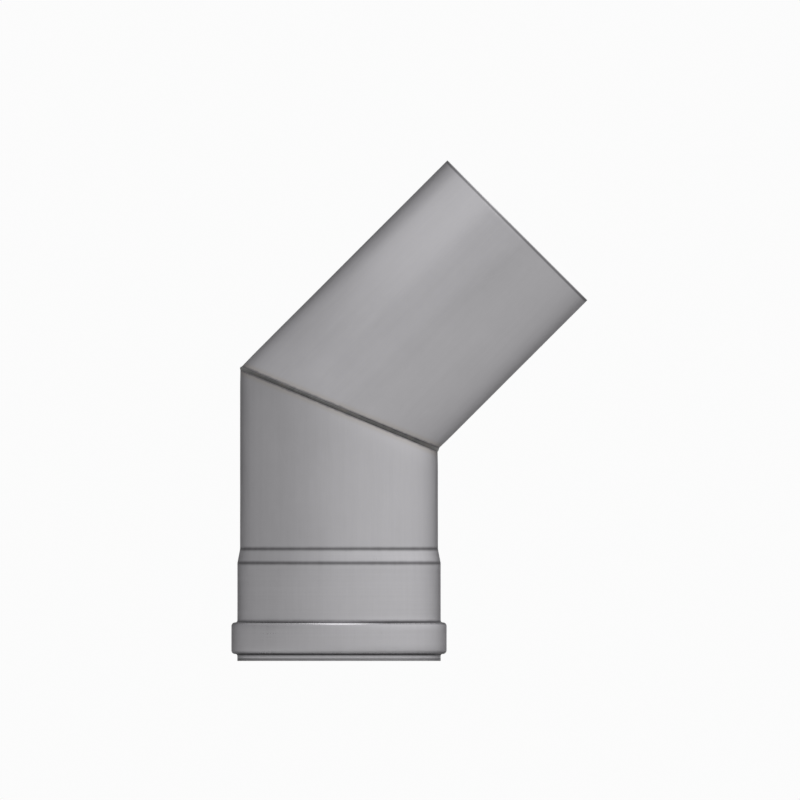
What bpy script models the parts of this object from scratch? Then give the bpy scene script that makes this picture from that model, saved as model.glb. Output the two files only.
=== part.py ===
"""Single-wall stainless flue elbow, 45 degrees, for 80 mm flue pipe.

Two rolled sheet legs meet at a mitre and are joined by a ring of weld. The lower leg ends in a
push-fit socket with a rolled bead, and a lip seal sits in the bead. The upper leg is a plain spigot.

Metres, +Z up. The socket's mouth lies on Z = 0 and faces down, and the spigot leans towards +X.
The origin is the middle of the bounding box's base. The legs' long seams are on the +Y side.
"""

import math

import bpy
from mathutils import Matrix, Vector

# Driving dimensions. Diameters are halved, so each round size is a radius.
PIPE_R = 0.0400  # outside of both legs
WALL = 0.0006  # sheet thickness
LEG = 0.1020  # mouth of the socket, or end of the spigot, to the middle of the mitre
BEND = math.radians(45)

SOCKET_R = 0.0411  # outside of the socket and of the collar below the bead
BEAD_R = 0.0435  # outside of the bead
BEAD_FOOT_Z = 0.0028  # the collar's height
BEAD_TOP_Z = 0.0156
CONE_FOOT_Z = 0.0396  # the socket ends and narrows to the pipe
CONE_TOP_Z = 0.0453
CONE_FILLET = 0.0040
BEAD_CREST_FILLET = 0.0015
BEAD_ROOT_FILLET = 0.0008

GAP = 0.0003  # kept between touching pieces
WELD_R = 0.0006  # the mitre weld's round section, which stands proud of both faces of the sheet
SEAM_WIDTH = 0.0010
SEAM_PROUD = 0.0001  # how far a long seam stands out of the sheet, inside and outside
SOCKET_SEAM_ANGLE = math.radians(110)  # about its leg's axis, from +X towards +Y
SPIGOT_SEAM_ANGLE = math.radians(70)

SEAL_BACK = 0.0015  # thickness of the seal's band behind the lips
SEAL_CHAMFER = 0.0004
LIP_COUNT = 3
LIP_TIP_R = 0.0393  # smaller than the pipe that goes in, so the lips bend
LIP_ROOT = 0.0015  # a lip's height where it leaves the band
LIP_TIP = 0.0006
LIP_RISE = 0.0016  # how much higher the tip is than the root

STEPS = 72  # facets round a leg
CUTTER = 0.30  # larger than the elbow, so that a cutter clears it
SEAM_BOX_DEPTH = 0.020  # a seam's cutter, across the wall and the bead

# Worked out from the driving dimensions
HALF_BEND = BEND / 2
SPIGOT_REACH = (LEG + PIPE_R) * math.sin(BEND)  # from the socket's axis to the spigot's far corner
AXIS_X = (BEAD_R - SPIGOT_REACH) / 2  # the socket's axis, with the bounding box centred on X = 0
MITRE_CENTRE = Vector((AXIS_X, 0, LEG))
MITRE_NORMAL = Vector((math.sin(HALF_BEND), 0, math.cos(HALF_BEND)))
EDGE_BACK = WELD_R + GAP  # from the mitre's plane to each leg's cut edge
UNCUT = PIPE_R * math.tan(HALF_BEND) + 0.010  # how far a leg runs past the mitre before it is cut

SATIN_STEEL = ("satin_steel", (0.52, 0.52, 0.53), 0.32, 1.0)
WELD_STEEL = ("weld_steel", (0.36, 0.34, 0.32), 0.42, 1.0)
SEAL_RUBBER = ("seal_rubber", (0.03, 0.03, 0.032), 0.60, 0.0)


def clear_scene():
    for obj in list(bpy.data.objects):
        bpy.data.objects.remove(obj, do_unlink=True)


def new_collection(name):
    made = bpy.data.collections.new(name)
    bpy.context.scene.collection.children.link(made)
    return made


def material(name, colour, roughness, metallic):
    """The material of that name, made the first time it is asked for."""
    if name in bpy.data.materials:
        return bpy.data.materials[name]
    made = bpy.data.materials.new(name)
    made.use_nodes = True
    shader = made.node_tree.nodes["Principled BSDF"]
    shader.inputs["Base Color"].default_value = (*colour, 1.0)
    shader.inputs["Roughness"].default_value = roughness
    shader.inputs["Metallic"].default_value = metallic
    return made


def axis_empty(name, location, lean, parts):
    """An empty whose +Z runs along a leg."""
    empty = bpy.data.objects.new(name, None)
    empty.location = location
    empty.rotation_euler = (0, lean, 0)
    parts.objects.link(empty)
    return empty


def filleted(corners):
    """The points of an outline through corners (r, z, fillet radius, arc segments)."""
    points = []
    for i, (r, z, fillet, segments) in enumerate(corners):
        here = Vector((r, z))
        if not fillet:
            points.append(here)
            continue
        back = (Vector(corners[i - 1][:2]) - here).normalized()
        on = (Vector(corners[i + 1][:2]) - here).normalized()
        half_angle = back.angle(on) / 2
        centre = here + (back + on).normalized() * fillet / math.sin(half_angle)
        first = here + back * fillet / math.tan(half_angle)
        last = here + on * fillet / math.tan(half_angle)
        turn = (first - centre).angle_signed(last - centre)
        for k in range(segments + 1):
            points.append(centre + Matrix.Rotation(-turn * k / segments, 2) @ (first - centre))
    return points


def turned(name, points, finish, parent, parts, closed=False):
    """An outline (r, z) turned about its parent's axis by a Screw modifier."""
    count = len(points)
    edges = [(i, i + 1) for i in range(count - 1)]
    if closed:
        edges.append((count - 1, 0))
    mesh = bpy.data.meshes.new(name)
    mesh.from_pydata([(p[0], 0, p[1]) for p in points], edges, [])
    obj = bpy.data.objects.new(name, mesh)
    obj.data.materials.append(material(*finish))
    obj.parent = parent
    parts.objects.link(obj)
    screw = obj.modifiers.new("turn", "SCREW")
    screw.axis = "Z"
    screw.angle = math.tau
    screw.steps = screw.render_steps = STEPS
    screw.use_merge_vertices = True
    screw.merge_threshold = 0.0001
    screw.use_smooth_shade = True
    return obj


def thicken(obj, thickness, outwards=0.0):
    """Gives a turned outline its sheet thickness, inwards but for the given amount outwards."""
    sheet = obj.modifiers.new("sheet", "SOLIDIFY")
    sheet.thickness = thickness
    sheet.offset = 2 * outwards / thickness - 1
    sheet.use_even_offset = True
    sheet.use_rim = True


def boolean(obj, cutter, operation):
    cut = obj.modifiers.new(cutter.name, "BOOLEAN")
    cut.operation = operation
    cut.object = cutter
    cut.solver = "EXACT"


def box_cutter(name, size, location, rotation, parent, cutters):
    """A box that only cuts. Its place is in its parent's axes."""
    bpy.ops.mesh.primitive_cube_add(size=1)
    box = bpy.context.active_object
    for owner in list(box.users_collection):
        owner.objects.unlink(box)
    cutters.objects.link(box)
    box.name = name
    box.data.transform(Matrix.Diagonal((*size, 1)))
    box.location = location
    box.rotation_euler = rotation
    box.parent = parent
    box.hide_render = True
    box.display_type = "WIRE"
    return box


def mitre_cutter(name, side, cutters):
    """A large box that ends EDGE_BACK from the mitre's plane. Side 1 cuts all above it, -1 all below."""
    centre = MITRE_CENTRE + MITRE_NORMAL * side * (CUTTER / 2 - EDGE_BACK)
    size = (CUTTER, CUTTER, CUTTER)
    return box_cutter(name, size, centre, (0, HALF_BEND, 0), None, cutters)


def seam_box(name, width, angle, parent, cutters):
    """A box that crosses the leg's wall along its whole length, on one side of the leg."""
    middle = Vector((math.cos(angle), math.sin(angle), 0)) * PIPE_R
    size = (SEAM_BOX_DEPTH, width, CUTTER * 2)
    return box_cutter(name, size, middle, (0, 0, angle), parent, cutters)


def socket_outline():
    """The socket leg's outer face, from above the mitre down to the mouth."""
    return filleted(
        [
            (PIPE_R, LEG + UNCUT, 0, 0),
            (PIPE_R, CONE_TOP_Z, CONE_FILLET, 1),
            (SOCKET_R, CONE_FOOT_Z, CONE_FILLET, 1),
            (SOCKET_R, BEAD_TOP_Z, BEAD_ROOT_FILLET, 3),
            (BEAD_R, BEAD_TOP_Z, BEAD_CREST_FILLET, 3),
            (BEAD_R, BEAD_FOOT_Z, BEAD_CREST_FILLET, 3),
            (SOCKET_R, BEAD_FOOT_Z, BEAD_ROOT_FILLET, 3),
            (SOCKET_R, 0, 0, 0),
        ]
    )


def spigot_outline():
    """The spigot leg's outer face, along its own axis, from its end down past the mitre."""
    return [(PIPE_R, LEG), (PIPE_R, -UNCUT)]


def seal_outline():
    """The seal's section: a band that fills the bead, with lips that rise inwards from it."""
    back_r = BEAD_R - WALL - GAP
    front_r = back_r - SEAL_BACK
    foot = BEAD_FOOT_Z + WALL + GAP
    top = BEAD_TOP_Z - WALL - GAP
    pitch = (top - foot) / LIP_COUNT
    points = [
        (back_r - SEAL_CHAMFER, top),
        (back_r, top - SEAL_CHAMFER),
        (back_r, foot + SEAL_CHAMFER),
        (back_r - SEAL_CHAMFER, foot),
        (front_r, foot),
    ]
    for i in range(LIP_COUNT):
        root = foot + pitch * (i + 0.5) - LIP_ROOT
        points += [
            (front_r, root),
            (LIP_TIP_R + LIP_TIP / 3, root + LIP_RISE),
            (LIP_TIP_R, root + LIP_RISE + LIP_TIP / 3),
            (LIP_TIP_R, root + LIP_RISE + LIP_TIP * 2 / 3),
            (LIP_TIP_R + LIP_TIP / 3, root + LIP_RISE + LIP_TIP),
            (front_r, root + LIP_ROOT),
        ]
    points.append((front_r, top))
    return points


def sheet_leg(name, outline, angle, parent, mitre, parts, cutters):
    """A rolled leg, cut along its mitre and open along its seam, and the seam that closes it."""
    leg = turned(name, outline, SATIN_STEEL, parent, parts)
    thicken(leg, WALL)
    boolean(leg, mitre, "DIFFERENCE")
    slot = seam_box(f"{name}_slot_cutter", SEAM_WIDTH + 2 * GAP, angle, parent, cutters)
    boolean(leg, slot, "DIFFERENCE")

    seam = turned(f"{name}_seam", outline, WELD_STEEL, parent, parts)
    thicken(seam, WALL + 2 * SEAM_PROUD, SEAM_PROUD)
    boolean(seam, seam_box(f"{name}_seam_keeper", SEAM_WIDTH, angle, parent, cutters), "INTERSECT")
    boolean(seam, mitre, "DIFFERENCE")


def mitre_weld(parent, parts):
    """A ring of weld along the oval where the two legs meet, centred in the sheet's thickness."""
    middle_r = PIPE_R - WALL / 2
    curve = bpy.data.curves.new("mitre_weld", "CURVE")
    curve.dimensions = "3D"
    curve.bevel_depth = WELD_R
    curve.bevel_resolution = 2
    curve.materials.append(material(*WELD_STEEL))
    spline = curve.splines.new("POLY")
    spline.points.add(STEPS - 1)
    spline.use_cyclic_u = True
    for i, point in enumerate(spline.points):
        angle = math.tau * i / STEPS
        x = middle_r * math.cos(angle)
        point.co = (x, middle_r * math.sin(angle), LEG - x * math.tan(HALF_BEND), 1)
    obj = bpy.data.objects.new("mitre_weld", curve)
    obj.parent = parent
    parts.objects.link(obj)


def main():
    clear_scene()
    parts = new_collection("flue_elbow")
    cutters = new_collection("cutters")
    socket_axis = axis_empty("socket_axis", (AXIS_X, 0, 0), 0, parts)
    spigot_axis = axis_empty("spigot_axis", MITRE_CENTRE, BEND, parts)

    above_mitre = mitre_cutter("above_mitre_cutter", 1, cutters)
    below_mitre = mitre_cutter("below_mitre_cutter", -1, cutters)
    sheet_leg(
        "socket_leg", socket_outline(), SOCKET_SEAM_ANGLE, socket_axis, above_mitre, parts, cutters
    )
    sheet_leg(
        "spigot_leg", spigot_outline(), SPIGOT_SEAM_ANGLE, spigot_axis, below_mitre, parts, cutters
    )
    mitre_weld(socket_axis, parts)
    turned("lip_seal", seal_outline(), SEAL_RUBBER, socket_axis, parts, closed=True)


main()
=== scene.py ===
"""Looks of the single-wall flue elbow: two sheet legs, their welds and the lip seal.

Metres, in the CAD model's frame. Each leg has its own axes: a point lies at an angle about the leg's
axis, from the throat of the bend towards +Y, and at a distance along the leg from the mitre's middle.
The two legs mirror each other in the mitre's plane, so one set of functions makes both.
"""

import math

import bmesh
import bpy
from mathutils import Matrix, Vector, noise

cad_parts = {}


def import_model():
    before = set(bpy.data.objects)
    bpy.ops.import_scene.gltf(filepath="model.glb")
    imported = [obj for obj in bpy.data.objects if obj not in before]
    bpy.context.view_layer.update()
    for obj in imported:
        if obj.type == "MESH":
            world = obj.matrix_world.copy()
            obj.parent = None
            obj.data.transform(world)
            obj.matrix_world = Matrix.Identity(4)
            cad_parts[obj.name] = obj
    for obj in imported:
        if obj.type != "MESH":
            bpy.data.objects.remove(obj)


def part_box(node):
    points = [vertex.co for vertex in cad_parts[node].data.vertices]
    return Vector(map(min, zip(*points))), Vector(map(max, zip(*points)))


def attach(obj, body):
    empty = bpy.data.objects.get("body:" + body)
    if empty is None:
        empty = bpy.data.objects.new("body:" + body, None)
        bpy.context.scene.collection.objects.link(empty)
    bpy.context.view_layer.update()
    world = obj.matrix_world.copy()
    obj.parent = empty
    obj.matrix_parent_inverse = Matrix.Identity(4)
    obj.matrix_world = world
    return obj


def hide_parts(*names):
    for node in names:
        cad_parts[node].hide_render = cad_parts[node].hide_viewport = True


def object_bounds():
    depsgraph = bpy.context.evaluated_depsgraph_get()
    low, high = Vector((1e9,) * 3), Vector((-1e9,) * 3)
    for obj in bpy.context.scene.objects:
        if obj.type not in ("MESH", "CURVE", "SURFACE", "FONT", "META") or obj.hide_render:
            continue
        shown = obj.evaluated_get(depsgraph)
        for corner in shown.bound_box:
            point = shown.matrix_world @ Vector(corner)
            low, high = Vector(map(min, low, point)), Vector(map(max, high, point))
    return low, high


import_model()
cad_low, cad_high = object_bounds()

# The object's main sizes, read from the CAD nodes
BEND = math.radians(45)
BEAD_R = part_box("socket_leg")[1].y
AXIS_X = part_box("socket_leg")[0].x + BEAD_R
PIPE_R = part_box("spigot_leg")[1].y
LEG = (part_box("spigot_leg")[1].z - PIPE_R * math.sin(BEND)) / (1 + math.cos(BEND))
SLOPE = math.tan(BEND / 2)  # of the mitre, per metre across the leg
MITRE = Vector((AXIS_X, 0, LEG))
MITRE_NORMAL = Vector((math.sin(BEND / 2), 0, math.cos(BEND / 2)))
MITRE_ACROSS = Vector((math.cos(BEND / 2), 0, -math.sin(BEND / 2)))
SIDEWAYS = Vector((0, 1, 0))

# The socket's outline, as in the CAD part, at distances along the leg from the mitre's middle
WALL = 0.0006
SOCKET_R = 0.0411
BEAD_FOOT = LEG - 0.0028
BEAD_TOP = LEG - 0.0156
CONE_FOOT = LEG - 0.0396
CONE_TOP = LEG - 0.0453
CONE_FILLET = 0.0040
BEAD_CREST_FILLET = 0.0015
BEAD_ROOT_FILLET = 0.0008
DEBURR = 0.00015  # rounding of the sheet's cut ends
WELD_PULL = 0.00014  # how far the mitre's weld draws the sheet in
WELD_PULL_REACH = 0.0045
SEAM_FLAT = 0.00006  # how far the sheet is flattened along its seam
SEAM_FLAT_REACH = 0.0035
WAVE = 0.00004  # height of the slight waves of thin sheet
WAVE_LENGTH = 0.022
SOCKET_SEAM = math.radians(110)  # each leg's long seam, as an angle about the leg
SPIGOT_SEAM = math.radians(70)

# Welds
EDGE_BACK = 0.00035  # from the mitre's plane to a leg's cut edge
SLOT = 0.00055  # half the slot that a long seam fills
NECK = 0.00025  # half of what a weld fills between two edges, less than the room there
MITRE_BEAD = 0.00085  # half the width of the mitre's weld, outside
MITRE_ROOT = 0.00075  # and inside
MITRE_PROUD = 0.00030
ROOT_PROUD = 0.00018
MITRE_RIPPLE = 0.00095
MITRE_STOP = math.radians(96)  # where the mitre weld's end runs over its start
MITRE_STOP_REACH = 0.0024
SEAM_BEAD = 0.00085  # half the width of a long seam
SEAM_PROUD = 0.00007
SEAM_RIPPLE = 0.00060
SEAM_WOBBLE = 0.007  # length over which a seam's width and ripples vary
SINK = 0.00003  # a weld's toes lie this deep in the sheet

# Seal
SEAL_CLEARANCE = 0.0003
SEAL_BACK = 0.0015
LIP_COUNT = 3
LIP_TIP_R = 0.0393
LIP_ROOT = 0.0015
LIP_TIP = 0.0006
LIP_RISE = 0.0016
BAND_FILLET = 0.0004
GROOVE_FILLET = 0.0003
LIP_ROOT_FILLET = 0.0002
LIP_TIP_FILLET = 0.00018

# The picture: what it is wide over the object's height, and its middle
VIEW_WIDTH = 1.598
VIEW_MIDDLE = Vector((-0.0038, 0, 0.1055))
CAMERA_AWAY = 0.8

# Fineness of the meshes
AROUND = 288
ROW_STEP = 0.0022
FILLET_STEPS = 8
RIM_STEPS = 4
LEVEL_FROM = 0.030  # rows nearer the mitre lean towards its plane
BEAD_STEPS = 12  # across a weld
RIPPLE_STEPS = 5


def camera():
    """An orthographic camera that looks square at the elbow's side."""
    data = bpy.data.cameras.new("camera")
    data.type = "ORTHO"
    data.ortho_scale = VIEW_WIDTH * (cad_high.z - cad_low.z)
    data.clip_end = 10
    made = bpy.data.objects.new("camera", data)
    made.location = VIEW_MIDDLE - SIDEWAYS * CAMERA_AWAY
    made.rotation_euler = (math.radians(90), 0, 0)
    bpy.context.scene.collection.objects.link(made)
    bpy.context.scene.camera = made


# Outlines


def filleted(corners, closed=False):
    """Rows (point, normal) through corners (r, t, fillet), in order, with the outside on the right."""
    rows = []
    for i, (r, t, fillet) in enumerate(corners):
        here = Vector((r, t))
        on = (Vector(corners[(i + 1) % len(corners)][:2]) - here).normalized()
        run = (here - Vector(corners[i - 1][:2])).normalized()
        if not closed and i == 0:
            run = on
        if not fillet:
            rows.append((here, Vector((run.y, -run.x))))
            continue
        half_angle = (-run).angle(on) / 2
        centre = here + (on - run).normalized() * fillet / math.sin(half_angle)
        first = here - run * fillet / math.tan(half_angle)
        last = here + on * fillet / math.tan(half_angle)
        turn = (first - centre).angle_signed(last - centre)
        sign = 1 if (first - centre).dot(Vector((run.y, -run.x))) > 0 else -1
        for k in range(FILLET_STEPS + 1):
            arm = Matrix.Rotation(-turn * k / FILLET_STEPS, 2) @ (first - centre)
            rows.append((centre + arm, arm.normalized() * sign))
    return rows


def spaced(rows, step):
    """The same rows with more between them, so that none are further apart than step."""
    filled = [rows[0]]
    for (here, normal), (there, next_normal) in zip(rows, rows[1:]):
        count = max(1, math.ceil((there - here).length / step))
        for k in range(1, count + 1):
            share = k / count
            filled.append((here.lerp(there, share), normal.lerp(next_normal, share).normalized()))
    return filled


# Meshes


def mesh_object(name, points, faces, places, paint, node):
    """A closed piece that stands for a CAD node. places are each point's coordinates on the sheet.

    A third coordinate, where there is one, is 0 on the outer face and 1 on the inner one.
    """
    mesh = bpy.data.meshes.new(name)
    mesh.from_pydata(points, [], faces)
    cleaned = bmesh.new()
    cleaned.from_mesh(mesh)
    bmesh.ops.recalc_face_normals(cleaned, faces=cleaned.faces)
    cleaned.to_mesh(mesh)
    cleaned.free()
    layer = mesh.uv_layers.new(name="sheet")
    for loop in mesh.loops:
        layer.data[loop.index].uv = places[loop.vertex_index][:2]
    inside = mesh.attributes.new("inside", "FLOAT", "POINT")
    for point, place in zip(inside.data, places):
        point.value = place[2] if len(place) > 2 else 0
    mesh.shade_smooth()
    mesh.set_sharp_from_angle(angle=math.radians(40))
    mesh.materials.append(paint)
    made = bpy.data.objects.new(name, mesh)
    bpy.context.scene.collection.objects.link(made)
    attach(made, "root")
    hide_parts(node)


def tube_faces(sections, size, closed):
    """The faces between sections of the same size, each a closed loop of points."""
    faces = []
    for i in range(sections if closed else sections - 1):
        here, there = i * size, (i + 1) % sections * size
        for k in range(size):
            on = (k + 1) % size
            faces.append((here + k, here + on, there + on, there + k))
    return faces


# Legs


class Leg:
    """A leg's axes and outline, and the places of points on its sheet."""

    def __init__(self, across, along, corners, seam):
        self.across = Vector(across)
        self.along = Vector(along)
        self.seam = seam
        self.rows = []
        length = LEVEL_FROM
        last = Vector(corners[0][:2])
        for point, normal in spaced(filleted(corners), ROW_STEP):
            length += (point - last).length
            last = point
            self.rows.append((point, normal, length))
        self.length = length + DEBURR
        self.folds = [self.length_at(Vector((r, t))) for r, t, fillet in corners if fillet]

    def length_at(self, corner):
        """The distance along the sheet of the place nearest to a corner of the outline."""
        return min(self.rows, key=lambda row: (row[0] - corner).length)[2]

    def place(self, angle, r, t):
        """A point in the frame, from its angle, radius and distance along the leg."""
        outwards = self.across * math.cos(angle) + SIDEWAYS * math.sin(angle)
        return MITRE + outwards * r + self.along * t

    def unevenness(self, angle, t):
        """How far the sheet stands off its true radius: the pull of the welds, and slight waves."""
        from_mitre = t - PIPE_R * math.cos(angle) * SLOPE
        from_seam = PIPE_R * math.remainder(angle - self.seam, math.tau)
        pull = WELD_PULL * math.exp(-((from_mitre / WELD_PULL_REACH) ** 2))
        flat = SEAM_FLAT * math.exp(-((from_seam / SEAM_FLAT_REACH) ** 2))
        # Adding a multiple of the leg's own axis gives each leg different waves
        where = Vector((math.cos(angle) * 2.2, math.sin(angle) * 2.2, t / WAVE_LENGTH)) + self.across * 7
        return WAVE * noise.noise(where) - pull - flat

    def on_sheet(self, angle, row, depth):
        """A point at a row of the outline, at a depth below the sheet's outer face."""
        point, normal, _ = row
        r, t = point - normal * depth
        return self.place(angle, r + self.unevenness(angle, t) * abs(normal.x), t)

    def row_at(self, length):
        """The row at a distance along the sheet from the mitre's middle."""
        if length <= LEVEL_FROM:
            return Vector((PIPE_R, length)), Vector((1, 0)), length
        for before, after in zip(self.rows, self.rows[1:]):
            if length <= after[2]:
                share = (length - before[2]) / (after[2] - before[2])
                normal = before[1].lerp(after[1], share).normalized()
                return before[0].lerp(after[0], share), normal, length
        point, normal, last = self.rows[-1]
        return point + Vector((0, length - last)), normal, length

    def mitre_at(self, angle, r):
        """Where the mitre's plane crosses a line along the leg."""
        return r * math.cos(angle) * SLOPE

    def leaning_rows(self, angle, depth):
        """Rows from the leg's cut edge, which follows the mitre, to the first level row."""
        edge = self.mitre_at(angle, PIPE_R - depth) + EDGE_BACK
        count = math.ceil(LEVEL_FROM / ROW_STEP)
        for k in range(count):
            t = edge + (LEVEL_FROM - edge) * k / count
            yield Vector((PIPE_R, t)), Vector((1, 0)), t

    def face(self, angle, depth):
        """Points and their places on the sheet, from the mitre to the rounding of the free end."""
        rows = [*self.leaning_rows(angle, depth), *self.rows]
        around = angle * PIPE_R
        return [(self.on_sheet(angle, row, depth), (around, row[2], depth / WALL)) for row in rows]

    def rim(self, angle):
        """The rounded free end, from the outer face to the inner one."""
        point, normal, length = self.rows[-1]
        points = []
        for k in range(1, 2 * RIM_STEPS):
            turn = math.pi * k / (2 * RIM_STEPS)
            flat = WALL - 2 * DEBURR if turn > math.pi / 2 else 0
            depth = DEBURR * (1 - math.cos(turn)) + flat
            beyond = DEBURR * math.sin(turn)
            row = (point + Vector((0, beyond)), normal, length + beyond)
            points.append((self.on_sheet(angle, row, depth), (angle * PIPE_R, row[2], depth / WALL)))
        return points

    def build(self, name, paint, node):
        """The leg's sheet: a closed solid, open along its seam."""
        slot = SLOT / PIPE_R
        points, places = [], []
        for k in range(AROUND + 1):
            angle = self.seam + slot + (math.tau - 2 * slot) * k / AROUND
            outer, rim, inner = self.face(angle, 0), self.rim(angle), self.face(angle, WALL)
            section = outer + rim + inner[::-1]
            points += [point for point, _ in section]
            places += [place for _, place in section]
        size, height = len(section), len(outer)
        faces = tube_faces(AROUND + 1, size, closed=False)
        for start in (0, AROUND * size):
            for k in range(height - 1):
                far = size - 1 - k
                faces.append((start + k, start + k + 1, start + far - 1, start + far))
            faces.append(tuple(range(start + height - 1, start + size - height + 1)))
        mesh_object(name, points, faces, places, paint, node)


def socket_leg():
    corners = [
        (PIPE_R, LEVEL_FROM, 0),
        (PIPE_R, CONE_TOP, CONE_FILLET),
        (SOCKET_R, CONE_FOOT, CONE_FILLET),
        (SOCKET_R, BEAD_TOP, BEAD_ROOT_FILLET),
        (BEAD_R, BEAD_TOP, BEAD_CREST_FILLET),
        (BEAD_R, BEAD_FOOT, BEAD_CREST_FILLET),
        (SOCKET_R, BEAD_FOOT, BEAD_ROOT_FILLET),
        (SOCKET_R, LEG - DEBURR, 0),
    ]
    return Leg((1, 0, 0), (0, 0, -1), corners, SOCKET_SEAM)


def spigot_leg():
    corners = [(PIPE_R, LEVEL_FROM, 0), (PIPE_R, LEG - DEBURR, 0)]
    across = (math.cos(BEND), 0, -math.sin(BEND))
    along = (math.sin(BEND), 0, math.cos(BEND))
    return Leg(across, along, corners, SPIGOT_SEAM)


# Welds


def ripple(phase):
    """From 0 in the sharp valley between two ripples to 1 on a ripple's round back."""
    return abs(math.sin(phase / 2))


def crown(across):
    """A weld's height over its width, across being -1 and 1 at its toes."""
    return (1 - across * across) ** 0.75


def long_seam(name, leg, paint, node):
    """A flattened butt weld along a leg, seen outside and inside."""
    start = leg.mitre_at(leg.seam, PIPE_R) + 2 * EDGE_BACK
    count = round((leg.length - start) / SEAM_RIPPLE * RIPPLE_STEPS)
    shares = [2 * k / BEAD_STEPS - 1 for k in range(BEAD_STEPS + 1)]
    points, places = [], []
    for i in range(count + 1):
        length = start + (leg.length - start) * i / count
        row = leg.row_at(length)
        wobble = noise.noise(Vector((length / SEAM_WOBBLE, leg.seam, 0)))
        half = SEAM_BEAD * (1 + 0.05 * wobble)
        phase = math.tau * length / SEAM_RIPPLE + 1.5 * wobble
        section = []
        for share in shares:
            wave = 0.75 + 0.35 * ripple(phase - 1.8 * share * share)
            section.append((share * half, SINK - (SINK + SEAM_PROUD * wave) * crown(share)))
        section += [(NECK, SINK + 0.0001), (NECK, WALL - SINK - 0.0001)]
        for share in reversed(shares):
            section.append((share * half * 0.85, WALL - SINK + (SINK + SEAM_PROUD) * crown(share)))
        section += [(-NECK, WALL - SINK - 0.0001), (-NECK, SINK + 0.0001)]
        for across, depth in section:
            points.append(leg.on_sheet(leg.seam + across / PIPE_R, row, depth))
            places.append((across, length, depth / WALL))
    size = len(section)
    faces = tube_faces(count + 1, size, closed=False)
    faces.append(tuple(range(size)))
    faces.append(tuple(range(count * size, (count + 1) * size)))
    mesh_object(name, points, faces, places, paint, node)


def mitre_angles(count):
    """Angles about the leg at equal steps along the mitre's oval, and the oval's length."""
    fine = 4 * count
    angles = [math.tau * k / fine for k in range(fine + 1)]
    edge = [Vector((math.cos(a) / math.cos(BEND / 2), math.sin(a))) * PIPE_R for a in angles]
    lengths = [0.0]
    for here, there in zip(edge, edge[1:]):
        lengths.append(lengths[-1] + (there - here).length)
    found, k = [], 0
    for i in range(count):
        wanted = lengths[-1] * i / count
        while lengths[k + 1] <= wanted:
            k += 1
        share = (wanted - lengths[k]) / (lengths[k + 1] - lengths[k])
        found.append(angles[k] + share * (angles[k + 1] - angles[k]))
    return found, lengths[-1]


def bridged(first, middle, last, share):
    """A point on the arch from first to last that leans towards middle, share being -1 to 1."""
    q = (share + 1) / 2
    return first * (1 - q) ** 2 + middle * (2 * q * (1 - q)) + last * q**2


def mitre_edge(leg, angle, depth, back=0.0):
    """A point on a leg's sheet, at a depth in it and a distance back from the mitre's plane."""
    row = leg.row_at(leg.mitre_at(angle, PIPE_R - depth) + back)
    return leg.on_sheet(angle, row, depth)


def mitre_bead(legs, angle, depth, half_width, peak, phase=None):
    """Points over a bead's width, each with its distance from the middle. phase gives it ripples.

    peak is the bead's height as a vector, away from the sheet.
    """
    first, last = (mitre_edge(leg, angle, depth, half_width) for leg in legs)
    middle = mitre_edge(legs[0], angle, depth)
    found = []
    for k in range(BEAD_STEPS + 1):
        share = 2 * k / BEAD_STEPS - 1
        wave = 1 if phase is None else 0.80 + 0.26 * ripple(phase - 2.2 * share * share)
        base = bridged(first, middle, last, share)
        found.append((base + peak * wave * crown(share), share * half_width, depth))
    return found


def mitre_neck(legs, angle, depth, side):
    """A point on one side of the weld metal that fills the space between the legs' cut edges."""
    return mitre_edge(legs[0], angle, depth) + MITRE_NORMAL * NECK * side, side * NECK, depth


def mitre_weld(name, legs, paint, node):
    """The weld where the legs meet: a rippled bead outside, a root inside and a neck between."""
    perimeter = mitre_angles(AROUND)[1]
    ripples = round(perimeter / MITRE_RIPPLE)
    angles, _ = mitre_angles(ripples * RIPPLE_STEPS)
    points, places = [], []
    for i, angle in enumerate(angles):
        outwards = MITRE_ACROSS * math.cos(angle) * math.cos(BEND / 2) + SIDEWAYS * math.sin(angle)
        outwards.normalize()
        where = Vector((math.cos(angle), math.sin(angle), 0)) * 6
        wobble = noise.noise(where)
        from_stop = math.remainder(angle - MITRE_STOP, math.tau) * PIPE_R
        lap = math.exp(-((from_stop / MITRE_STOP_REACH) ** 2))
        phase = math.tau * i / RIPPLE_STEPS + 2.5 * wobble
        half = 1 + 0.06 * noise.noise(where * 3) + 0.03 * ripple(phase) + 0.25 * lap
        proud = MITRE_PROUD * (1 + 0.12 * wobble + 0.35 * lap)
        section = mitre_bead(legs, angle, SINK, MITRE_BEAD * half, outwards * proud, phase)
        section.append(mitre_neck(legs, angle, 2 * SINK, 1))
        section.append(mitre_neck(legs, angle, WALL - 2 * SINK, 1))
        root = mitre_bead(legs, angle, WALL - SINK, MITRE_ROOT * half, outwards * -ROOT_PROUD)
        section += reversed(root)
        section.append(mitre_neck(legs, angle, WALL - 2 * SINK, -1))
        section.append(mitre_neck(legs, angle, 2 * SINK, -1))
        for point, across, depth in section:
            points.append(point)
            places.append((across, perimeter * i / len(angles), depth / WALL))
    faces = tube_faces(len(angles), len(section), closed=True)
    mesh_object(name, points, faces, places, paint, node)


# Seal


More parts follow.
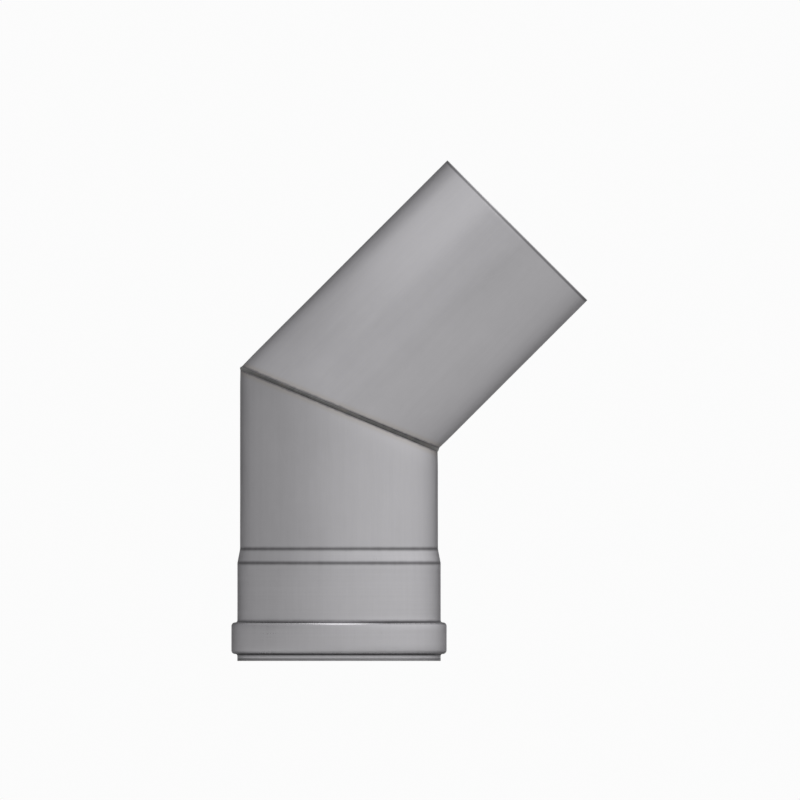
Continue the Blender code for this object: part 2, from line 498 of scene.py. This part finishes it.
def lip_seal(name, leg, paint, node):
    """A moulded ring: a band that fills the bead's groove, and lips that rise inwards from it."""
    back_r = BEAD_R - WALL - SEAL_CLEARANCE
    front_r = back_r - SEAL_BACK
    foot = BEAD_FOOT - WALL - SEAL_CLEARANCE
    top = BEAD_TOP + WALL + SEAL_CLEARANCE
    pitch = (foot - top) / LIP_COUNT
    corners = [
        (back_r, top, BAND_FILLET),
        (back_r, foot, BAND_FILLET),
        (front_r, foot, GROOVE_FILLET),
    ]
    for i in range(LIP_COUNT):
        root = foot - pitch * (i + 0.5) + LIP_ROOT
        corners.append((front_r, root, LIP_ROOT_FILLET))
        corners.append((LIP_TIP_R, root - LIP_RISE, LIP_TIP_FILLET))
        corners.append((LIP_TIP_R, root - LIP_RISE - LIP_TIP, LIP_TIP_FILLET))
        corners.append((front_r, root - 2 * LIP_ROOT, GROOVE_FILLET))
    corners.append((front_r, top, GROOVE_FILLET))
    outline = [point for point, _ in filleted(corners, closed=True)]
    points, places = [], []
    for k in range(AROUND):
        angle = math.tau * k / AROUND
        for r, t in outline:
            points.append(leg.place(angle, r, t))
            places.append((angle * PIPE_R, t))
    faces = tube_faces(AROUND, len(outline), closed=True)
    mesh_object(name, points, faces, places, paint, node)


# Materials

STEEL_TONE = 0.515
STEEL_ROUGH = 0.32
STEEL_TINT = (0.992, 0.977, 1.013, 1)
EDGE_TINT = (0.3, 0.3, 0.3, 1)  # the metal's reflectance near grazing angles
STRAW = (0.45, 0.40, 0.34, 1)
BLUED = (0.17, 0.165, 0.185, 1)
MITRE_TONE = 0.13
MITRE_BROWN = (0.15, 0.132, 0.118, 1)
SEAM_TONE = 0.44
SEAM_BROWN = (0.42, 0.39, 0.36, 1)
WELD_ROUGH = 0.38
SEAL_TONE = 0.040
SEAL_ROUGH = 0.58
INNER_FILM = 0.55  # share of the inner face's light that a film of oil and dust scatters


class Nodes:
    """Short calls that build a material's or the world's node tree."""

    def __init__(self, tree):
        self.tree = tree
        tree.nodes.clear()

    def put(self, socket, value):
        if isinstance(value, bpy.types.NodeSocket):
            self.tree.links.new(value, socket)
        elif value is not None:
            socket.default_value = value

    def add(self, kind, values=(), output=0, **settings):
        """A node with these values in its first sockets, or in named ones. Gives the wanted output."""
        node = self.tree.nodes.new(kind)
        for key, value in settings.items():
            setattr(node, key, value)
        pairs = values.items() if isinstance(values, dict) else enumerate(values)
        for key, value in pairs:
            self.put(node.inputs[key], value)
        return node.outputs[output] if len(node.outputs) else node

    def math(self, operation, *values, clamp=False):
        return self.add("ShaderNodeMath", values, operation=operation, use_clamp=clamp)

    def vector(self, operation, *values, output=0):
        return self.add("ShaderNodeVectorMath", values, output, operation=operation)

    def scaled(self, vector, *scale):
        return self.vector("MULTIPLY", vector, scale)

    def noise(self, vector, detail=2.0, roughness=0.5):
        """Noise, centred on 0 and about 1 from trough to crest, with features one unit across."""
        values = {"Vector": vector, "Scale": 1.0, "Detail": detail, "Roughness": roughness}
        return self.math("SUBTRACT", self.add("ShaderNodeTexNoise", values), 0.5)

    def grain(self, vector, detail, *sizes):
        """Noise with features of these sizes, in metres: along the vector's axes, or one all round."""
        if len(sizes) == 1:
            sizes *= 3
        scale = [1 / size for size in sizes] + [1.0] * (3 - len(sizes))
        return self.noise(self.scaled(vector, *scale), detail)

    def range(self, value, low, high, start=0.0, end=1.0):
        """start where value is low and end where it is high, with a smooth step between."""
        values = (value, low, high, start, end)
        return self.add("ShaderNodeMapRange", values, interpolation_type="SMOOTHSTEP")

    def total(self, base, *terms):
        """base plus each (value, factor)."""
        for value, factor in terms:
            base = self.math("MULTIPLY_ADD", value, factor, base)
        return base

    def mix(self, share, first, second, blend="MIX"):
        node = self.tree.nodes.new("ShaderNodeMix")
        node.data_type = "RGBA"
        node.blend_type = blend
        self.put(node.inputs[0], share)
        self.put(node.inputs[6], first)
        self.put(node.inputs[7], second)
        return node.outputs[2]

    def grey(self, value):
        """A colour whose three channels are value."""
        return self.add("ShaderNodeCombineColor", (value, value, value))

    def principled(self, bump=None, **sockets):
        """The material's shader and output. Socket names have _ for spaces."""
        shader = self.tree.nodes.new("ShaderNodeBsdfPrincipled")
        for key, value in sockets.items():
            self.put(shader.inputs[key.replace("_", " ")], value)
        self.put(shader.inputs["Normal"], bump)
        output = self.tree.nodes.new("ShaderNodeOutputMaterial")
        self.tree.links.new(shader.outputs[0], output.inputs["Surface"])

    def bump(self, height, distance, strength=1.0):
        values = {"Height": height, "Distance": distance, "Strength": strength}
        return self.add("ShaderNodeBump", values)


def material(name):
    made = bpy.data.materials.new(name)
    made.use_nodes = True
    return made, Nodes(made.node_tree)


def sheet_place(nodes):
    """Coordinates on the sheet, in metres: round the leg, along it, and both as one vector."""
    place = nodes.add("ShaderNodeUVMap", uv_map="sheet")
    split = nodes.add("ShaderNodeSeparateXYZ", (place,)).node
    return split.outputs[0], split.outputs[1], place


def frame_place(nodes):
    return nodes.add("ShaderNodeTexCoord", output=3)


def nearest(nodes, value, places):
    """How far value is from the nearest of the places."""
    gaps = [nodes.math("ABSOLUTE", nodes.math("SUBTRACT", value, place)) for place in places]
    best = gaps[0]
    for gap in gaps[1:]:
        best = nodes.math("MINIMUM", best, gap)
    return best


def satin_steel(name, leg):
    """Cold-rolled stainless sheet, with the marks of its forming and its welds, painted shade in its
    folds, on the bead's crests and at its cut ends, and painted light on the collar.
    """
    made, nodes = material(name)
    around, along, place = sheet_place(nodes)
    position = frame_place(nodes)
    inside = nodes.add("ShaderNodeAttribute", output=2, attribute_name="inside")

    # Mill grain along the leg, in fine and in coarse streaks, and cloudy patches
    fine = nodes.grain(place, 3, 0.00045, 0.014)
    coarse = nodes.grain(place, 2, 0.0026, 0.070)
    cloud = nodes.grain(position, 2, 0.020)
    mottle = nodes.grain(position, 3, 0.0035)

    # Hairline scratches at a slant, where the sheet was handled but not rolled
    slant = nodes.add("ShaderNodeMapping", {"Vector": place, "Rotation": (0, 0, math.radians(24))})
    marks = nodes.grain(slant, 1, 0.00060, 0.035)
    handled = nodes.grain(position, 1, 0.030)
    scratch = nodes.math("MULTIPLY", nodes.range(marks, 0.17, 0.27), nodes.range(handled, 0.0, 0.16))

    # Marks of the forming rolls, which run round the socket, and faintly round a plain leg
    rolled = nodes.grain(place, 2, 0.090, 0.00090)
    formed = nodes.range(along, leg.folds[0] - 0.004, leg.folds[0] + 0.001) if leg.folds else 0.1
    rolled = nodes.math("MULTIPLY", rolled, formed)
    scratch = nodes.math("MULTIPLY", scratch, nodes.math("SUBTRACT", 1.0, formed))

    # Heat tint beside the welds, ragged along its edge
    ragged = nodes.grain(position, 2, 0.0020)
    offset = nodes.vector("SUBTRACT", position, tuple(MITRE))
    from_mitre = nodes.vector("DOT_PRODUCT", offset, tuple(MITRE_NORMAL), output=1)
    from_mitre = nodes.total(nodes.math("ABSOLUTE", from_mitre), (ragged, 0.0007))
    from_seam = nearest(nodes, around, [leg.seam * PIPE_R, (leg.seam + math.tau) * PIPE_R])
    from_seam = nodes.total(from_seam, (ragged, 0.0006))
    mitre_straw = nodes.range(from_mitre, 0.0036, 0.0012)
    seam_straw = nodes.range(from_seam, 0.0026, 0.0011, 0, 0.6)
    straw = nodes.math("MAXIMUM", mitre_straw, seam_straw)
    mitre_blue = nodes.range(from_mitre, 0.0016, 0.0009)
    seam_blue = nodes.range(from_seam, 0.0014, 0.0008, 0, 0.22)
    blued = nodes.math("MAXIMUM", mitre_blue, seam_blue)

    tone = nodes.total(STEEL_TONE, (fine, 0.035), (coarse, 0.035), (cloud, 0.035), (mottle, 0.020))
    rough = nodes.total(STEEL_ROUGH, (fine, 0.08), (coarse, 0.05), (cloud, 0.07), (mottle, 0.04))
    tone = nodes.total(tone, (rolled, 0.05), (scratch, 0.030), (inside, 0.08))
    rough = nodes.total(rough, (rolled, 0.10), (scratch, 0.07), (blued, 0.08), (inside, 0.16))
    metallic = nodes.total(1.0, (inside, -INNER_FILM))
    if leg.folds:
        cone_top, cone_foot, bead_root, bead_crest, lower_crest, lower_root = leg.folds
        # Painted shade: a dark, rougher line in each fold. The bead's crests are burnished and a little
        # darkened with painted shade, and the collar has painted light that offsets the shade under the
        # bead
        from_fold = nearest(nodes, along, [cone_top, cone_foot, bead_root, lower_root])
        painted_fold_shade = nodes.range(nodes.total(from_fold, (mottle, 0.0002)), 0.0013, 0.0)
        # Painted shade on the bead's crests, which are also made glossier, as if burnished
        crest_burnish_and_shade = nodes.range(nearest(nodes, along, [bead_crest, lower_crest]), 0.0010, 0.0002)
        # Painted light: the collar is lighter, to offset the shade under the bead
        collar_painted_light = nodes.range(along, lower_root, lower_root + 0.0006)
        tone = nodes.total(tone, (painted_fold_shade, -0.34), (crest_burnish_and_shade, -0.06), (collar_painted_light, 0.09))
        rough = nodes.total(rough, (painted_fold_shade, 0.12), (crest_burnish_and_shade, -0.04))
    # Painted shade: a dark, rougher line just inside each cut end
    painted_end_shade = nodes.range(nearest(nodes, along, [leg.length - 0.0007]), 0.0007, 0.0001)
    tone = nodes.total(tone, (painted_end_shade, -0.28))
    rough = nodes.total(rough, (painted_end_shade, 0.08))

    colour = nodes.mix(1.0, nodes.grey(tone), STEEL_TINT, "MULTIPLY")
    colour = nodes.mix(nodes.math("MULTIPLY", straw, 0.40), colour, STRAW)
    colour = nodes.mix(nodes.math("MULTIPLY", blued, 0.75), colour, BLUED)
    height = nodes.total(0.0, (fine, 1.0), (coarse, 0.6), (rolled, 1.2), (scratch, -0.2))
    nodes.principled(
        Base_Color=colour,
        Metallic=metallic,
        Roughness=rough,
        Specular_Tint=EDGE_TINT,
        Anisotropic=0.35,
        Tangent=nodes.add("ShaderNodeTangent", direction_type="UV_MAP", uv_map="sheet"),
        bump=nodes.bump(height, 0.000010),
    )
    return made


def weld_steel(name, base_tone, brown, half_width):
    """Fused weld metal with oxide in patches, and painted shade along the toes."""
    made, nodes = material(name)
    across = sheet_place(nodes)[0]
    position = frame_place(nodes)
    patch = nodes.grain(position, 3, 0.0045)
    speck = nodes.grain(position, 2, 0.0006)
    inside = nodes.add("ShaderNodeAttribute", output=2, attribute_name="inside")
    # Painted shade along the weld's toes, where it meets the sheet, which are also rougher
    painted_toe_shade = nodes.range(nodes.math("ABSOLUTE", across), half_width * 0.50, half_width * 0.95)
    tone = nodes.total(base_tone, (patch, 0.10), (speck, 0.08), (painted_toe_shade, -0.09), (inside, 0.08))
    rough = nodes.total(WELD_ROUGH, (patch, 0.12), (speck, 0.16), (painted_toe_shade, 0.10), (inside, 0.10))
    colour = nodes.mix(nodes.range(patch, -0.1, 0.3, 0, 0.6), nodes.grey(tone), brown)
    nodes.principled(
        Base_Color=colour,
        Metallic=nodes.total(1.0, (inside, -INNER_FILM)),
        Roughness=rough,
        bump=nodes.bump(speck, 0.00003),
    )
    return made


def seal_rubber():
    """Matt moulded silicone, with a trace of dust and the mould's fine texture."""
    made, nodes = material("seal_rubber")
    position = frame_place(nodes)
    place = sheet_place(nodes)[2]
    grain = nodes.grain(position, 3, 0.00035)
    cloud = nodes.grain(position, 3, 0.009)
    streak = nodes.grain(place, 2, 0.030, 0.00025)
    dust = nodes.range(nodes.total(cloud, (grain, 0.5)), 0.05, 0.40)
    tone = nodes.total(SEAL_TONE, (grain, 0.014), (dust, 0.040), (streak, 0.012))
    rough = nodes.total(SEAL_ROUGH, (grain, 0.12), (dust, 0.14), (streak, 0.10))
    height = nodes.total(0.0, (grain, 1.0), (streak, 0.7))
    nodes.principled(
        Base_Color=nodes.grey(tone),
        Roughness=rough,
        Specular_IOR_Level=0.4,
        bump=nodes.bump(height, 0.00004),
    )
    return made


# Studio

FLOOR_HALF = 3.0
FLOOR_BELOW = 0.0001  # from the object's foot down to the floor
FLOOR_PAINT = (0.72, 0.72, 0.715, 1)
LEVEL = 0.74  # of the surroundings
LEVEL_RIGHT = 0.20  # how much lighter they are towards +X
LEVEL_FRONT = 0.03
LEVEL_HORIZON = 0.12  # and how much more so near the horizon
LEVEL_BEHIND = 0.45  # share that is left right behind the object, as seen in the picture
BACKDROP = 0.97
BACKDROP_BELOW = 0.70
OVERHEAD_AT = Vector((0, -0.3, 0.6))
OVERHEAD_SIZE = (0.4, 0.9)
OVERHEAD_POWER = 1.3
UPPER_SIDE_ALONG = 0.085  # from the mitre along the spigot leg
UPPER_SIDE_FRONT = 0.1
UPPER_SIDE_AWAY = 0.26
UPPER_SIDE_SIZE = (0.4, 0.08)
UPPER_SIDE_POWER = 0.030


def floor():
    """A plain pale floor that can be seen through from below."""
    mesh = bpy.data.meshes.new("floor")
    shape = bmesh.new()
    bmesh.ops.create_grid(shape, x_segments=1, y_segments=1, size=FLOOR_HALF)
    shape.to_mesh(mesh)
    shape.free()
    made = bpy.data.objects.new("floor", mesh)
    made.location.z = cad_low.z - FLOOR_BELOW
    bpy.context.scene.collection.objects.link(made)
    paint, nodes = material("pale_floor")
    mesh.materials.append(paint)
    shade = nodes.add("ShaderNodeBsdfDiffuse", {"Color": FLOOR_PAINT})
    clear = nodes.add("ShaderNodeBsdfTransparent")
    below = nodes.add("ShaderNodeNewGeometry", output=6)
    mixed = nodes.add("ShaderNodeMixShader", (below, shade, clear))
    nodes.add("ShaderNodeOutputMaterial", {"Surface": mixed})


def world():
    """Soft pale studio surroundings, lighter on the right, most of all near the horizon.

    The camera sees a plain backdrop instead, near white, and like the floor where it looks downwards.
    """
    made = bpy.data.worlds.new("studio")
    made.use_nodes = True
    bpy.context.scene.world = made
    nodes = Nodes(made.node_tree)
    direction = nodes.add("ShaderNodeTexCoord")
    split = nodes.add("ShaderNodeSeparateXYZ", (direction,)).node
    x, y, z = split.outputs
    ahead = nodes.math("MAXIMUM", nodes.math("MULTIPLY", y, -1.0), 0.0)
    low = nodes.range(z, 0.05, 0.60, 1.0, 0.0)
    low_x = nodes.math("MULTIPLY", low, x)
    level = nodes.total(LEVEL, (x, LEVEL_RIGHT), (ahead, LEVEL_FRONT), (low_x, LEVEL_HORIZON))
    behind = nodes.range(y, 0.80, 0.95, 1.0, LEVEL_BEHIND)
    level = nodes.math("MULTIPLY", level, behind)
    around = nodes.add("ShaderNodeBackground", {"Color": nodes.grey(level), "Strength": 1.0})
    backdrop = nodes.grey(nodes.range(z, -0.02, -0.05, BACKDROP, BACKDROP_BELOW))
    plain = nodes.add("ShaderNodeBackground", {"Color": backdrop, "Strength": 1.0})
    seen = nodes.add("ShaderNodeLightPath")
    mixed = nodes.add("ShaderNodeMixShader", (seen, around, plain))
    nodes.add("ShaderNodeOutputWorld", {"Surface": mixed})


def soft_light(name, place, target, size, power):
    """A rectangular light that faces its target and that the camera doesn't see."""
    data = bpy.data.lights.new(name, "AREA")
    data.shape = "RECTANGLE"
    data.size, data.size_y = size
    data.energy = power
    made = bpy.data.objects.new(name, data)
    made.location = place
    made.rotation_euler = (Vector(target) - Vector(place)).to_track_quat("-Z", "Y").to_euler()
    made.visible_camera = False
    bpy.context.scene.collection.objects.link(made)


def studio():
    """One wide light overhead and in front, and a small soft one above the spigot leg's upper side."""
    bpy.context.scene.view_settings.view_transform = "Standard"
    world()
    floor()
    below = Vector((OVERHEAD_AT.x, OVERHEAD_AT.y, 0))
    soft_light("overhead", OVERHEAD_AT, below, OVERHEAD_SIZE, OVERHEAD_POWER)
    spigot = spigot_leg()
    lit = MITRE + spigot.along * UPPER_SIDE_ALONG - SIDEWAYS * UPPER_SIDE_FRONT
    place = lit - spigot.across * UPPER_SIDE_AWAY
    soft_light("upper_side", place, lit, UPPER_SIDE_SIZE, UPPER_SIDE_POWER)


def main():
    camera()
    lower, upper = socket_leg(), spigot_leg()
    oxidised = weld_steel("mitre_weld_steel", MITRE_TONE, MITRE_BROWN, MITRE_BEAD)
    planished = weld_steel("seam_weld_steel", SEAM_TONE, SEAM_BROWN, SEAM_BEAD)
    lower.build("socket_leg_sheet", satin_steel("socket_leg_steel", lower), "socket_leg")
    upper.build("spigot_leg_sheet", satin_steel("spigot_leg_steel", upper), "spigot_leg")
    long_seam("socket_seam_bead", lower, planished, "socket_leg_seam")
    long_seam("spigot_seam_bead", upper, planished, "spigot_leg_seam")
    mitre_weld("mitre_weld_bead", (lower, upper), oxidised, "mitre_weld")
    lip_seal("lip_seal_ring", lower, seal_rubber(), "lip_seal")
    studio()


main()
